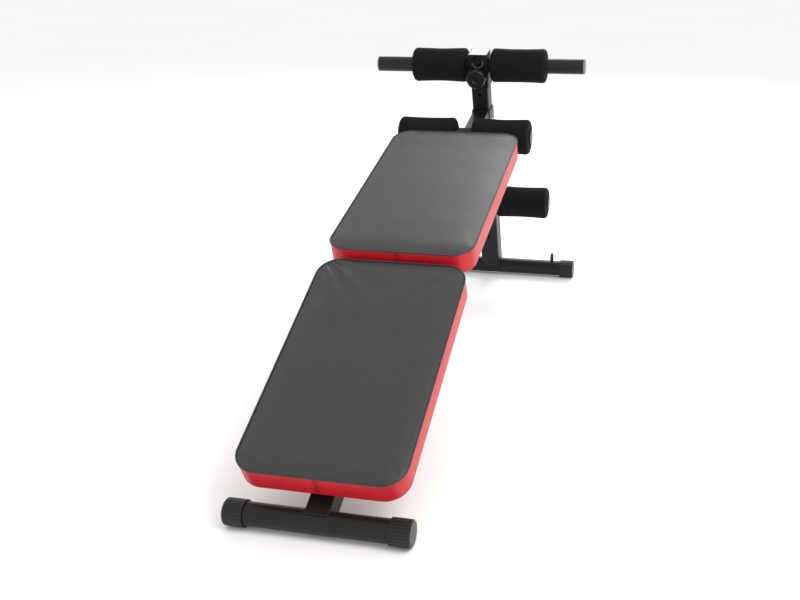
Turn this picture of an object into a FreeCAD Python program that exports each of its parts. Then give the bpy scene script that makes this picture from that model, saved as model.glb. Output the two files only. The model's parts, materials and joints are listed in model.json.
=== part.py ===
"""Folding sit-up / adjustable weight bench.

Row frame: +Z up, floor at z = 0, +Y towards the upright, X across the bench, origin on the
floor in the middle of the bench.  Millimetres.

Four working frames are used:
  floor frame  - the row frame itself
  front frame  - origin on the front foot's axis, +Y up along the front beam
  rear frame   - origin where the two beam centre lines meet, +Y up along the rear beam
  post frame   - origin on the rear foot's axis, +Z up along the leaning leg and post
"""
import FreeCAD, Part
import math
import os

os.makedirs("parts", exist_ok=True)

V = FreeCAD.Vector
X_AXIS = V(1, 0, 0)
Y_AXIS = V(0, 1, 0)
Z_AXIS = V(0, 0, 1)

# ---------------------------------------------------------------- driving dimensions
FOOT_SPACING = 1386.0       # front foot axis to rear foot axis, along the floor
FRONT_SLOPE = 24.7          # degrees, front beam above the floor
REAR_SLOPE = 14.9           # degrees, rear beam above the floor
POST_LEAN = 12.5            # degrees, leg and post lean towards the front
FRONT_BEAM_RUN = 639.0      # front foot axis to the point where the centre lines meet

BEAM = 45.0                 # square tube of both beams
BEAM_WALL = 2.0
LEG = 50.0                  # square tube of the lower leg, also the T-bar's sleeve
LEG_WALL = 2.0
LEG_TOP = 488.0             # post frame
POST = 44.0                 # square tube of the upper post
POST_WALL = 2.0
POST_BOTTOM = 380.0         # post frame
POST_TOP = 597.0            # post frame
TUBE_CORNER = 4.0           # outer corner radius of every square tube

FOOT_R = 21.25              # foot tubes
FOOT_WALL = 2.0
FRONT_FOOT_LENGTH = 336.0   # over the caps
REAR_FOOT_LENGTH = 478.0
CAP_R = 24.25
CAP_GROOVE_R = 23.3
CAP_LENGTH = 38.0
CAP_FLOOR = 3.0
CAP_RIBS = 24
CAP_BEVEL = 2.5

PAD_WIDTH = 310.0
PAD_THICKNESS = 50.0
PAD_CORNER = 46.0
PAD_UNDERSIDE = 34.0        # above the beam's centre line
COVER = 1.5
BOARD_THICKNESS = 12.0
BOARD_INSET = 6.0
FRONT_PAD_START = 31.0      # front frame
FRONT_PAD_LENGTH = 530.0
REAR_PAD_START = -78.5      # rear frame
REAR_PAD_LENGTH = 545.0
FRONT_BRACKETS = (150.0, 440.0)     # front frame
REAR_BRACKETS = (80.0, 360.0)       # rear frame
BRACKET_LENGTH = 240.0
BRACKET_WIDTH = 40.0
BRACKET_WALL = 3.0
BOLT_X = 95.0               # pad bolts either side of the beam

HINGE_DROP = 14.0           # pivot below the beams' undersides
HINGE_EAR_R = 11.0
HINGE_BOLT_R = 5.0
EAR_THICKNESS = 4.0
FRONT_EAR_X = 11.5          # inner face of the front beam's ears
REAR_EAR_X = 16.0           # inner face of the rear beam's ears
END_PLATE = 3.0
END_GAP = 0.25              # each end plate stands back this far from the meeting plane
RUNNING = 0.05              # radial clearance of turning and sliding pins
SIDE_PLATE = 4.0
SIDE_PLATE_RELIEF = 0.5

FOAM_R = 43.5
FOAM_WAIST_R = 41.8
FOAM_LENGTH = 142.0
FOAM_EDGE = 9.0
FOAM_CLEARANCE = 0.3
FOAM_BAR_R = 12.5
KNEE_BAR_Y = 526.6          # rear frame
KNEE_BAR_Z = 41.0
KNEE_FOAM_X = 23.0          # inner end of each knee roller
LOWER_BAR_Z = 210.0         # post frame
LOWER_FOAM_X = 27.0
BAR_CAP_R = 17.0

T_BAR_Z = 605.3             # post frame
T_BAR_R = 19.0
T_BAR_WALL = 2.0
T_BAR_HALF = 275.0
T_FOAM_X = 33.0
SLEEVE_BELOW = 52.0         # sleeve's lower end below the T-bar's axis
SLEEVE_ABOVE = 36.0
SLEEVE_WALL = 1.8
LINER = 0.9
TOP_PLUG = 4.0
HOLE_PITCH = 28.6           # height holes in the post
KNOB_DROP = 17.3            # knob's axis below the T-bar's axis
PIN_R = 4.0
PIN_TRAVEL = 7.0

EYE_X = 176.0               # band eyes on the rear foot
EYE_R = 12.0
EYE_WIRE_R = 3.0
EYE_LEG = 9.0
EYE_SINK = 4.0              # wire starts this far inside the foot before it is trimmed to it

M8_R = 4.0                  # pad and post bolts
M8_CLEARANCE_R = 4.1
M8_HEX = 13.0
M8_HEAD = 5.3
M8_NUT = 6.8
M8_TAIL = 9.0               # shank beyond the leg's side
BRACKET_CLEARANCE_R = 4.2
POST_BOLT_LEVELS = (398.0, 452.0)       # post frame
LEG_HOLE_LEVEL = 107.0      # open hole in the leg's front, post frame
POST_HOLE_R = PIN_R + 0.3
TEE_NUT_R = 5.0
TEE_NUT_LENGTH = 10.0
TEE_FLANGE_R = 10.0
TEE_FLANGE = 1.5

HINGE_HEX = 16.0
HINGE_HEAD = 6.4
HINGE_NUT = 10.0
HINGE_TAIL = 12.0
BUSH_R = 8.0
EAR_NEAR = 8.0              # ears reach from here to EAR_FAR from the meeting point
EAR_FAR = 70.0
EAR_TOE = 6.0
BASE_NEAR = 12.0
SIDE_PLATE_Y = (-50.0, 70.0)            # rear frame
SIDE_PLATE_Z = (-15.0, 19.0)
SIDE_PLATE_CORNER = 12.0
LOCK_Y = -28.0              # lock pin's axis, rear frame
LOCK_Z = 3.0
LOCK_HOLE_R = PIN_R + 0.5

HOUSING_R = 11.0            # pull pins
HOUSING_LENGTH = 16.0
HOUSING_END = 3.0
SPRING_ROOM_R = 6.5
SPRING_OUTER_R = 6.2
SPRING_INNER_R = 4.5
COLLAR_R = 6.0
COLLAR = (1.0, 3.0)
PIN_TAIL = 7.0
KNOB_STANDOFF = 1.0
KNOB_BEVEL = 3.0
DISH_DEPTH = 4.0
DISH_INNER = 0.28           # of the knob's radius
DISH_OUTER = 0.4
HEIGHT_KNOB = (25.0, 22.6, 8, 20.0)     # radius, groove radius, lobes, length
LOCK_KNOB = (16.0, 14.6, 6, 16.0)
HEIGHT_PIN_REACH = SLEEVE_WALL + 0.6
LOCK_PIN_REACH = SIDE_PLATE - SIDE_PLATE_RELIEF - 0.1

LINER_LENGTH = 60.0
LINER_CORNER = 2.0
T_PLUG_FLANGE = 3.0
T_PLUG_DEPTH = 15.0
FRONT_PLUG_R = 18.0
FRONT_PLUG_RISE = 2.5
FRONT_PLUG_LEVEL = 17.0     # above the T-bar's axis
FRONT_DISH = (12.5, 16.0, 1.5)          # inner radius, outer radius, depth

BAR_WALL = 1.5              # roller bars
BAR_CAP_FLANGE = 3.0
BAR_CAP_DEPTH = 14.0
END_PLAY = 1.0
SADDLE_HALF_WIDTH = 20.0
SADDLE_HALF_LENGTH = 18.0
SADDLE_OVER = 4.0
SADDLE_CORNER = 12.0

THROUGH = 60.0              # half-length of a cutter that passes right through a tube
REACH = 400.0               # size of the blocks that cut beams to length

# ---------------------------------------------------------------- working frames
FRONT_FOOT = V(0, -FOOT_SPACING / 2, CAP_R)
REAR_FOOT = V(0, FOOT_SPACING / 2, CAP_R)
FOOT_TOP = CAP_R + FOOT_R


def slope_frame(origin, degrees):
    return FreeCAD.Placement(origin, FreeCAD.Rotation(X_AXIS, degrees))


FLOOR = FreeCAD.Placement()
FRONT = slope_frame(FRONT_FOOT, FRONT_SLOPE)
MEETING_POINT = FRONT.multVec(V(0, FRONT_BEAM_RUN, 0))
REAR = slope_frame(MEETING_POINT, REAR_SLOPE)
MITRE = slope_frame(MEETING_POINT, (FRONT_SLOPE + REAR_SLOPE) / 2)
UPRIGHT = slope_frame(REAR_FOOT, POST_LEAN)
PIVOT = MITRE.multVec(V(0, 0, -BEAM / 2 - HINGE_DROP))


def placed(shape, frame):
    """The shape moved from a working frame into the row frame."""
    result = shape.copy()
    result.Placement = frame.multiply(result.Placement)
    return result


# ---------------------------------------------------------------- shape helpers
def block(x0, x1, y0, y1, z0, z1):
    return Part.makeBox(x1 - x0, y1 - y0, z1 - z0, V(x0, y0, z0))


def rod_x(radius, x0, x1, y=0.0, z=0.0):
    return Part.makeCylinder(radius, x1 - x0, V(x0, y, z), X_AXIS)


def rod_z(radius, z0, z1, x=0.0, y=0.0):
    return Part.makeCylinder(radius, z1 - z0, V(x, y, z0), Z_AXIS)


def hexagon_x(across_flats, x0, x1, y, z):
    corner = across_flats / math.sqrt(3)
    points = [V(x0, y + corner * math.cos(math.radians(60 * i)), z + corner * math.sin(math.radians(60 * i)))
              for i in range(7)]
    return Part.Face(Part.makePolygon(points)).extrude(V(x1 - x0, 0, 0))


def hexagon_z(across_flats, z0, z1, x, y):
    corner = across_flats / math.sqrt(3)
    points = [V(x + corner * math.cos(math.radians(60 * i)), y + corner * math.sin(math.radians(60 * i)), z0)
              for i in range(7)]
    return Part.Face(Part.makePolygon(points)).extrude(V(0, 0, z1 - z0))


def rounded_slab(x0, x1, y0, y1, z0, z1, radius):
    """A flat slab with rounded corners in plan."""
    slab = block(x0, x1, y0, y1, z0, z1)
    upright = [e for e in slab.Edges if abs(e.tangentAt(e.FirstParameter).z) > 0.99]
    return slab.makeFillet(radius, upright)


def square_bar(width, length, radius):
    """A square bar with rounded edges, running along +Z from the origin."""
    return rounded_slab(-width / 2, width / 2, -width / 2, width / 2, 0, length, radius)


def square_tube(width, wall, length):
    inner = square_bar(width - 2 * wall, length, max(TUBE_CORNER - wall, 0.5))
    return square_bar(width, length, TUBE_CORNER).cut(inner)


def along_y(shape, start):
    """Turn a bar that runs along +Z so that it runs along +Y from the given start."""
    result = shape.copy()
    turn = FreeCAD.Placement(V(0, start, 0), FreeCAD.Rotation(X_AXIS, -90))
    result.Placement = turn.multiply(result.Placement)
    return result


def lobed_face(outer_r, groove_r, lobes):
    """A disc in the XY plane whose rim is a ring of equal rounded lobes, one pointing along -Y."""
    step = 2 * math.pi / lobes
    edges = []
    for i in range(lobes):
        middle = -math.pi / 2 + i * step
        corner = [V(groove_r * math.cos(middle + s * step / 2), groove_r * math.sin(middle + s * step / 2), 0)
                  for s in (-1, 1)]
        top = V(outer_r * math.cos(middle), outer_r * math.sin(middle), 0)
        edges.append(Part.Arc(corner[0], top, corner[1]).toShape())
    return Part.Face(Part.Wire(edges))


def largest_solid(shape):
    return max(shape.Solids, key=lambda s: s.Volume)


def mirrored_x(shape):
    return shape.mirror(V(0, 0, 0), X_AXIS)


def group(shapes):
    """Separate solids that share one node."""
    return Part.makeCompound([solid for shape in shapes for solid in shape.Solids])


NODES = {}


def add(name, shape, frame=FLOOR):
    NODES[name] = placed(shape, frame)


# ---------------------------------------------------------------- feet
def foot_tube(length):
    half = length / 2 - CAP_FLOOR
    return rod_x(FOOT_R, -half, half).cut(rod_x(FOOT_R - FOOT_WALL, -half, half))


def foot_cap(length):
    """Ribbed push-on cap at the +X end of a foot."""
    end = length / 2
    body = lobed_face(CAP_R, CAP_GROOVE_R, CAP_RIBS).extrude(V(0, 0, CAP_LENGTH))
    straight = CAP_LENGTH - CAP_BEVEL
    cone = Part.makeCone(CAP_R, CAP_R - CAP_BEVEL, CAP_BEVEL, V(0, 0, straight), Z_AXIS)
    envelope = rod_z(CAP_R, 0, straight).fuse(cone)
    body = body.common(envelope).cut(rod_z(FOOT_R, 0, CAP_LENGTH - CAP_FLOOR))
    lengthwise = FreeCAD.Rotation(Y_AXIS, Z_AXIS, X_AXIS, "YXZ")
    body.Placement = FreeCAD.Placement(V(end - CAP_LENGTH, 0, 0), lengthwise)
    return body


def band_eye():
    """A bent wire loop standing on the rear foot; origin on the foot's axis."""
    base = FOOT_R
    centre = base + EYE_LEG
    ring = Part.makeTorus(EYE_R, EYE_WIRE_R, V(0, 0, centre), X_AXIS)
    top = ring.common(block(-THROUGH, THROUGH, -THROUGH, THROUGH, centre, centre + THROUGH))
    legs = [rod_z(EYE_WIRE_R, base - EYE_SINK, centre, 0, s * EYE_R) for s in (-1, 1)]
    loop = top.fuse(legs).removeSplitter()
    return largest_solid(loop.cut(rod_x(FOOT_R, -THROUGH, THROUGH)))


def build_feet():
    ends = (("front", FRONT_FOOT, FRONT_FOOT_LENGTH), ("rear", REAR_FOOT, REAR_FOOT_LENGTH))
    for side, origin, length in ends:
        frame = FreeCAD.Placement(origin, FreeCAD.Rotation())
        cap = foot_cap(length)
        add(side + "_foot_tube", foot_tube(length), frame)
        add(side + "_foot_cap_right", cap, frame)
        add(side + "_foot_cap_left", mirrored_x(cap), frame)
    eye = band_eye()
    eye.translate(V(EYE_X, 0, 0))
    add("band_eyes", group([eye, mirrored_x(eye)]), FreeCAD.Placement(REAR_FOOT, FreeCAD.Rotation()))


# ---------------------------------------------------------------- beams, leg and post
def build_beams():
    stand_back = END_PLATE + END_GAP
    front = placed(along_y(square_tube(BEAM, BEAM_WALL, FRONT_BEAM_RUN + THROUGH), 2), FRONT)
    front = front.cut(placed(block(-REACH, REACH, -stand_back, REACH, -REACH, REACH), MITRE))
    front = largest_solid(front.cut(placed(rod_x(FOOT_R, -THROUGH, THROUGH), FRONT)))
    lock_hole = placed(rod_x(LOCK_HOLE_R, 0, BEAM, LOCK_Y, LOCK_Z), REAR)
    add("front_beam", front.cut(lock_hole))

    rear = placed(along_y(square_tube(BEAM, BEAM_WALL, FOOT_SPACING), -THROUGH), REAR)
    rear = rear.cut(placed(block(-REACH, REACH, -REACH, stand_back, -REACH, REACH), MITRE))
    rear = rear.cut(placed(block(-REACH, REACH, -LEG / 2, FOOT_SPACING, -REACH, FOOT_SPACING), UPRIGHT))
    add("rear_beam", largest_solid(rear))

    plate = square_bar(BEAM, END_PLATE, TUBE_CORNER)
    add("front_beam_end_plate", along_y(plate, -stand_back), MITRE)
    add("rear_beam_end_plate", along_y(plate, END_GAP), MITRE)


def height_hole_levels():
    first = T_BAR_Z - KNOB_DROP
    return [first - i * HOLE_PITCH for i in range(3)]


def build_upright():
    leg = square_tube(LEG, LEG_WALL, LEG_TOP)
    leg = leg.cut(rod_x(FOOT_R, -THROUGH, THROUGH))
    leg = leg.cut(rod_x(FOAM_BAR_R + RUNNING, -THROUGH, THROUGH, 0, LOWER_BAR_Z))
    leg = leg.cut(Part.makeCylinder(PIN_R, LEG, V(0, -LEG, LEG_HOLE_LEVEL), Y_AXIS))
    post = square_tube(POST, POST_WALL, POST_TOP - POST_BOTTOM)
    post.translate(V(0, 0, POST_BOTTOM))
    for level in height_hole_levels():
        post = post.cut(Part.makeCylinder(POST_HOLE_R, POST / 2, V(0, -POST / 2, level), Y_AXIS))
    bolts = []
    nuts = []
    for level in POST_BOLT_LEVELS:
        hole = rod_x(M8_CLEARANCE_R, -THROUGH, THROUGH, 0, level)
        leg = leg.cut(hole)
        post = post.cut(hole)
        shank = rod_x(M8_R, -LEG / 2, LEG / 2 + M8_TAIL, 0, level)
        bolts.append(shank.fuse(hexagon_x(M8_HEX, -LEG / 2 - M8_HEAD, -LEG / 2, 0, level)))
        nuts.append(hexagon_x(M8_HEX, LEG / 2, LEG / 2 + M8_NUT, 0, level).cut(shank))
    add("leg", largest_solid(leg), UPRIGHT)
    add("upper_post", post, UPRIGHT)
    add("post_bolts", group(bolts), UPRIGHT)
    add("post_nuts", group(nuts), UPRIGHT)


# ---------------------------------------------------------------- folding hinge
def ear_outline(frame, direction):
    """Side view of one hinge ear: a strip under the beam that narrows to the round pivot end."""
    pivot = frame.inverse().multVec(PIVOT)
    under = -BEAM / 2
    near = EAR_NEAR * direction
    far = EAR_FAR * direction
    deep = under - EAR_TOE
    steps = 24
    circle = [(pivot.y + HINGE_EAR_R * math.cos(2 * math.pi * i / steps),
               pivot.z + HINGE_EAR_R * math.sin(2 * math.pi * i / steps)) for i in range(steps)]
    return convex_hull(circle + [(near, under), (far, under), (far, deep)])


def convex_hull(points):
    """Andrew's monotone chain."""
    points = sorted(points)

    def half(sequence):
        chain = []
        for p in sequence:
            while len(chain) > 1 and cross(chain[-2], chain[-1], p) <= 0:
                chain.pop()
            chain.append(p)
        return chain[:-1]

    return half(points) + half(reversed(points))


def cross(a, b, c):
    return (b[0] - a[0]) * (c[1] - a[1]) - (b[1] - a[1]) * (c[0] - a[0])


def hinge_bracket(frame, direction, ear_x):
    """A pressed channel welded under a beam: a base plate and two ears bored for the pivot bolt."""
    pivot = frame.inverse().multVec(PIVOT)
    outline = ear_outline(frame, direction)
    outer = ear_x + EAR_THICKNESS
    points = [V(ear_x, y, z) for y, z in outline + outline[:1]]
    ear = Part.Face(Part.makePolygon(points)).extrude(V(EAR_THICKNESS, 0, 0))
    base_y = sorted((BASE_NEAR * direction, EAR_FAR * direction))
    base = block(-outer, outer, base_y[0], base_y[1], -BEAM / 2 - EAR_THICKNESS, -BEAM / 2)
    bracket = base.fuse([ear, mirrored_x(ear)]).removeSplitter()
    return bracket.cut(rod_x(HINGE_BOLT_R + RUNNING, -THROUGH, THROUGH, pivot.y, pivot.z))


def side_plate():
    """Guide plate at the +X side of the joint, welded to the rear beam, loose on the front beam."""
    x0 = BEAM / 2
    plate = block(x0, x0 + SIDE_PLATE, *SIDE_PLATE_Y, *SIDE_PLATE_Z)
    ends = [e for e in plate.Edges if abs(e.tangentAt(e.FirstParameter).x) > 0.99]
    plate = plate.makeFillet(SIDE_PLATE_CORNER, ends)
    return plate.cut(block(0, x0 + SIDE_PLATE_RELIEF, -THROUGH, BASE_NEAR, -THROUGH, THROUGH))


def build_hinge():
    front = slope_frame(MEETING_POINT, FRONT_SLOPE)
    add("front_hinge_bracket", hinge_bracket(front, -1, FRONT_EAR_X), front)
    add("rear_hinge_bracket", hinge_bracket(REAR, 1, REAR_EAR_X), REAR)
    outer = REAR_EAR_X + EAR_THICKNESS
    y = PIVOT.y
    z = PIVOT.z
    shank = rod_x(HINGE_BOLT_R, -outer, outer + HINGE_TAIL, y, z)
    add("hinge_bolt", shank.fuse(hexagon_x(HINGE_HEX, -outer - HINGE_HEAD, -outer, y, z)))
    add("hinge_nut", hexagon_x(HINGE_HEX, outer, outer + HINGE_NUT, y, z).cut(shank))
    bush = rod_x(BUSH_R, -FRONT_EAR_X, FRONT_EAR_X, y, z)
    add("hinge_bush", bush.cut(rod_x(HINGE_BOLT_R + RUNNING, -THROUGH, THROUGH, y, z)))
    plate = side_plate()
    bored = plate.cut(rod_x(PIN_R + RUNNING, 0, THROUGH, LOCK_Y, LOCK_Z))
    add("hinge_side_plates", group([bored, mirrored_x(plate)]), REAR)


# ---------------------------------------------------------------- sprung pull pins
def pull_pin(knob_r, groove_r, lobes, knob_length, tip_depth):
    """Housing, pin, knob and spring of a pull pin whose mounting face is z = 0, pulled along +Z."""
    seat = HOUSING_LENGTH - HOUSING_END
    housing = rod_z(HOUSING_R, 0, HOUSING_LENGTH).cut(rod_z(SPRING_ROOM_R, 0, seat))
    housing = housing.cut(rod_z(PIN_R + RUNNING, seat, HOUSING_LENGTH))
    pin = rod_z(PIN_R, -tip_depth, HOUSING_LENGTH + PIN_TAIL).fuse(rod_z(COLLAR_R, *COLLAR))
    foot = HOUSING_LENGTH + KNOB_STANDOFF
    knob = lobed_face(knob_r, groove_r, lobes).extrude(V(0, 0, knob_length))
    knob.translate(V(0, 0, foot))
    top = foot + knob_length
    straight = top - KNOB_BEVEL
    cone = Part.makeCone(knob_r, knob_r - KNOB_BEVEL, KNOB_BEVEL, V(0, 0, straight), Z_AXIS)
    envelope = rod_z(knob_r, foot, straight).fuse(cone)
    dish_floor = V(0, 0, top - DISH_DEPTH)
    dish = Part.makeCone(knob_r * DISH_INNER, knob_r * DISH_OUTER, DISH_DEPTH, dish_floor, Z_AXIS)
    knob = knob.common(envelope).cut(dish).cut(pin)
    spring = rod_z(SPRING_OUTER_R, COLLAR[1], seat).cut(rod_z(SPRING_INNER_R, COLLAR[1], seat))
    return housing, pin, knob, spring


def build_height_pin():
    level = T_BAR_Z - KNOB_DROP
    face = FreeCAD.Placement(V(0, -LEG / 2, level), FreeCAD.Rotation(X_AXIS, 90))
    frame = UPRIGHT.multiply(face)
    housing, pin, knob, spring = pull_pin(*HEIGHT_KNOB, HEIGHT_PIN_REACH)
    add("height_pin_housing", housing, frame)
    add("height_pin", pin, frame)
    add("height_knob", knob, frame)
    add("height_pin_spring", spring, frame)


def build_lock_pin():
    face = FreeCAD.Placement(V(BEAM / 2 + SIDE_PLATE, LOCK_Y, LOCK_Z), FreeCAD.Rotation(Y_AXIS, 90))
    frame = REAR.multiply(face)
    housing, pin, knob, spring = pull_pin(*LOCK_KNOB, LOCK_PIN_REACH)
    add("fold_lock_housing", housing, frame)
    add("fold_lock_pin", pin, frame)
    add("fold_lock_knob", knob, frame)
    add("fold_lock_spring", spring, frame)


# ---------------------------------------------------------------- T-bar
def build_t_bar():
    bottom = T_BAR_Z - SLEEVE_BELOW
    top = T_BAR_Z + SLEEVE_ABOVE
    level = T_BAR_Z - KNOB_DROP
    sleeve = square_tube(LEG, SLEEVE_WALL, top - bottom)
    sleeve.translate(V(0, 0, bottom))
    sleeve = sleeve.cut(Part.makeCylinder(PIN_R + RUNNING, LEG / 2, V(0, -LEG / 2 - 1, level), Y_AXIS))
    add("t_bar_sleeve", sleeve, UPRIGHT)

    room = LEG - 2 * SLEEVE_WALL
    liner = square_bar(room, LINER_LENGTH, TUBE_CORNER - SLEEVE_WALL)
    liner = liner.cut(square_bar(room - 2 * LINER, LINER_LENGTH, LINER_CORNER))
    liner.translate(V(0, 0, bottom))
    pin_hole = Part.makeCylinder(POST_HOLE_R, LEG, V(0, -LEG, level), Y_AXIS)
    add("sleeve_liner", liner.cut(pin_hole), UPRIGHT)

    plug = square_bar(room, TOP_PLUG, TUBE_CORNER - SLEEVE_WALL)
    plug.translate(V(0, 0, top - TOP_PLUG))
    add("sleeve_top_plug", plug, UPRIGHT)

    tube_end = T_BAR_HALF - T_PLUG_FLANGE
    inner = T_BAR_R - T_BAR_WALL
    half = rod_x(T_BAR_R, LEG / 2, tube_end, 0, T_BAR_Z)
    half = half.cut(rod_x(inner, LEG / 2, tube_end, 0, T_BAR_Z))
    add("t_bar_tubes", group([half, mirrored_x(half)]), UPRIGHT)
    end_plug = rod_x(T_BAR_R, tube_end, T_BAR_HALF, 0, T_BAR_Z)
    end_plug = end_plug.fuse(rod_x(inner, tube_end - T_PLUG_DEPTH, tube_end, 0, T_BAR_Z))
    end_plug = end_plug.removeSplitter()
    add("t_bar_end_plugs", group([end_plug, mirrored_x(end_plug)]), UPRIGHT)

    forward = V(0, -1, 0)
    plug_level = T_BAR_Z + FRONT_PLUG_LEVEL
    dish_inner, dish_outer, dish_depth = FRONT_DISH
    face = -LEG / 2 - FRONT_PLUG_RISE
    disc = Part.makeCylinder(FRONT_PLUG_R, FRONT_PLUG_RISE, V(0, -LEG / 2, plug_level), forward)
    dish = Part.makeCone(dish_inner, dish_outer, dish_depth, V(0, face + dish_depth, plug_level), forward)
    add("sleeve_front_plug", disc.cut(dish), UPRIGHT)


# ---------------------------------------------------------------- foam rollers and their bars
def foam_roller(x0, bar_r):
    """A slightly waisted foam tube along +X from x0."""
    bore = bar_r + FOAM_CLEARANCE
    x1 = x0 + FOAM_LENGTH
    shoulder = FOAM_R - FOAM_EDGE
    quarter = FOAM_EDGE * (1 - math.sqrt(0.5))
    crest0 = V(x0 + FOAM_EDGE, FOAM_R, 0)
    crest1 = V(x1 - FOAM_EDGE, FOAM_R, 0)
    waist = V((x0 + x1) / 2, FOAM_WAIST_R, 0)
    outline = [
        Part.LineSegment(V(x0, bore, 0), V(x0, shoulder, 0)).toShape(),
        Part.Arc(V(x0, shoulder, 0), V(x0 + quarter, FOAM_R - quarter, 0), crest0).toShape(),
        Part.Arc(crest0, waist, crest1).toShape(),
        Part.Arc(crest1, V(x1 - quarter, FOAM_R - quarter, 0), V(x1, shoulder, 0)).toShape(),
        Part.LineSegment(V(x1, shoulder, 0), V(x1, bore, 0)).toShape(),
        Part.LineSegment(V(x1, bore, 0), V(x0, bore, 0)).toShape(),
    ]
    return Part.Face(Part.Wire(outline)).revolve(V(0, 0, 0), X_AXIS, 360)


def roller_bar(foam_x):
    """Bar and two end caps for a pair of rollers."""
    half = foam_x + FOAM_LENGTH + END_PLAY
    inner = FOAM_BAR_R - BAR_WALL
    bar = rod_x(FOAM_BAR_R, -half, half).cut(rod_x(inner, -half, half))
    flange = rod_x(BAR_CAP_R, half, half + BAR_CAP_FLANGE)
    cap = flange.fuse(rod_x(inner, half - BAR_CAP_DEPTH, half)).removeSplitter()
    return bar, group([cap, mirrored_x(cap)])


def build_rollers():
    knee = REAR.multiply(FreeCAD.Placement(V(0, KNEE_BAR_Y, KNEE_BAR_Z), FreeCAD.Rotation()))
    lower = UPRIGHT.multiply(FreeCAD.Placement(V(0, 0, LOWER_BAR_Z), FreeCAD.Rotation()))
    t_bar = UPRIGHT.multiply(FreeCAD.Placement(V(0, 0, T_BAR_Z), FreeCAD.Rotation()))
    places = (("knee", knee, KNEE_FOAM_X, FOAM_BAR_R), ("lower", lower, LOWER_FOAM_X, FOAM_BAR_R),
              ("t_bar", t_bar, T_FOAM_X, T_BAR_R))
    for name, frame, foam_x, bar_r in places:
        foam = foam_roller(foam_x, bar_r)
        add(name + "_roller_right", foam, frame)
        add(name + "_roller_left", mirrored_x(foam), frame)
        if name != "t_bar":
            bar, caps = roller_bar(foam_x)
            add(name + "_bar", bar, frame)
            add(name + "_bar_end_caps", caps, frame)
    saddle = block(-SADDLE_HALF_WIDTH, SADDLE_HALF_WIDTH,
                   KNEE_BAR_Y - SADDLE_HALF_LENGTH, KNEE_BAR_Y + SADDLE_HALF_LENGTH,
                   BEAM / 2, KNEE_BAR_Z + FOAM_BAR_R + SADDLE_OVER)
    across = [e for e in saddle.Edges
              if abs(e.tangentAt(e.FirstParameter).x) > 0.99 and e.CenterOfMass.z > KNEE_BAR_Z]
    saddle = saddle.makeFillet(SADDLE_CORNER, across)
    bore = rod_x(FOAM_BAR_R + RUNNING, -THROUGH, THROUGH, KNEE_BAR_Y, KNEE_BAR_Z)
    add("knee_bar_saddle", saddle.cut(bore), REAR)


# ---------------------------------------------------------------- pads
def pad_slab(start, length, inset, z0, z1):
    half = PAD_WIDTH / 2 - inset
    return rounded_slab(-half, half, start + inset, start + length - inset, z0, z1, PAD_CORNER - inset)


def pad_bracket(y):
    """Pressed channel across the beam, open side down."""
    x = BRACKET_LENGTH / 2
    half = BRACKET_WIDTH / 2
    top = PAD_UNDERSIDE
    channel = block(-x, x, y - half, y + half, BEAM / 2, top)
    inside = half - BRACKET_WALL
    channel = channel.cut(block(-x, x, y - inside, y + inside, BEAM / 2, top - BRACKET_WALL))
    for side in (-1, 1):
        channel = channel.cut(rod_z(BRACKET_CLEARANCE_R, 0, THROUGH, side * BOLT_X, y))
    return channel


def build_pad(name, start, length, bracket_levels, frame):
    bottom = PAD_UNDERSIDE
    top = PAD_UNDERSIDE + PAD_THICKNESS
    under_cover = top - COVER
    board_top = bottom + BOARD_THICKNESS
    flange_bottom = board_top - TEE_FLANGE
    board = pad_slab(start, length, BOARD_INSET, bottom, board_top)
    foam = pad_slab(start, length, COVER, bottom, under_cover).cut(board)
    bolts = []
    nuts = []
    for y in bracket_levels:
        for side in (-1, 1):
            x = side * BOLT_X
            nut = rod_z(TEE_NUT_R, board_top - TEE_NUT_LENGTH, flange_bottom, x, y)
            nut = nut.fuse(rod_z(TEE_FLANGE_R, flange_bottom, board_top, x, y)).removeSplitter()
            passage = rod_z(M8_CLEARANCE_R, bottom - 1, board_top + 1, x, y)
            board = board.cut(nut).cut(passage)
            nuts.append(nut.cut(passage))
            seat = bottom - BRACKET_WALL
            head = hexagon_z(M8_HEX, seat - M8_HEAD, seat, x, y)
            bolts.append(head.fuse(rod_z(M8_R, seat, board_top, x, y)))
    band = pad_slab(start, length, 0, bottom, under_cover)
    band = band.cut(pad_slab(start, length, COVER, bottom, under_cover))
    add(name + "_pad_top_cover", pad_slab(start, length, 0, under_cover, top), frame)
    add(name + "_pad_side_band", band, frame)
    add(name + "_pad_foam", foam, frame)
    add(name + "_pad_board", board, frame)
    add(name + "_pad_tee_nuts", group(nuts), frame)
    add(name + "_pad_bolts", group(bolts), frame)
    add(name + "_pad_brackets", group([pad_bracket(y) for y in bracket_levels]), frame)


build_feet()
build_beams()
build_upright()
build_hinge()
build_height_pin()
build_lock_pin()
build_t_bar()
build_rollers()
build_pad("front", FRONT_PAD_START, FRONT_PAD_LENGTH, FRONT_BRACKETS, FRONT)
build_pad("rear", REAR_PAD_START, REAR_PAD_LENGTH, REAR_BRACKETS, REAR)

for node, shape in NODES.items():
    if not shape.isValid():
        print("not valid:", node)
    shape.exportStep("parts/" + node + ".step")
print(len(NODES), "nodes")
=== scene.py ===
"""Looks of the folding weight bench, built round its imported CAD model.  Metres, row frame."""
import json
import math

import bmesh
import bpy
from mathutils import Matrix, Vector, noise
from mathutils.bvhtree import BVHTree


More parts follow.
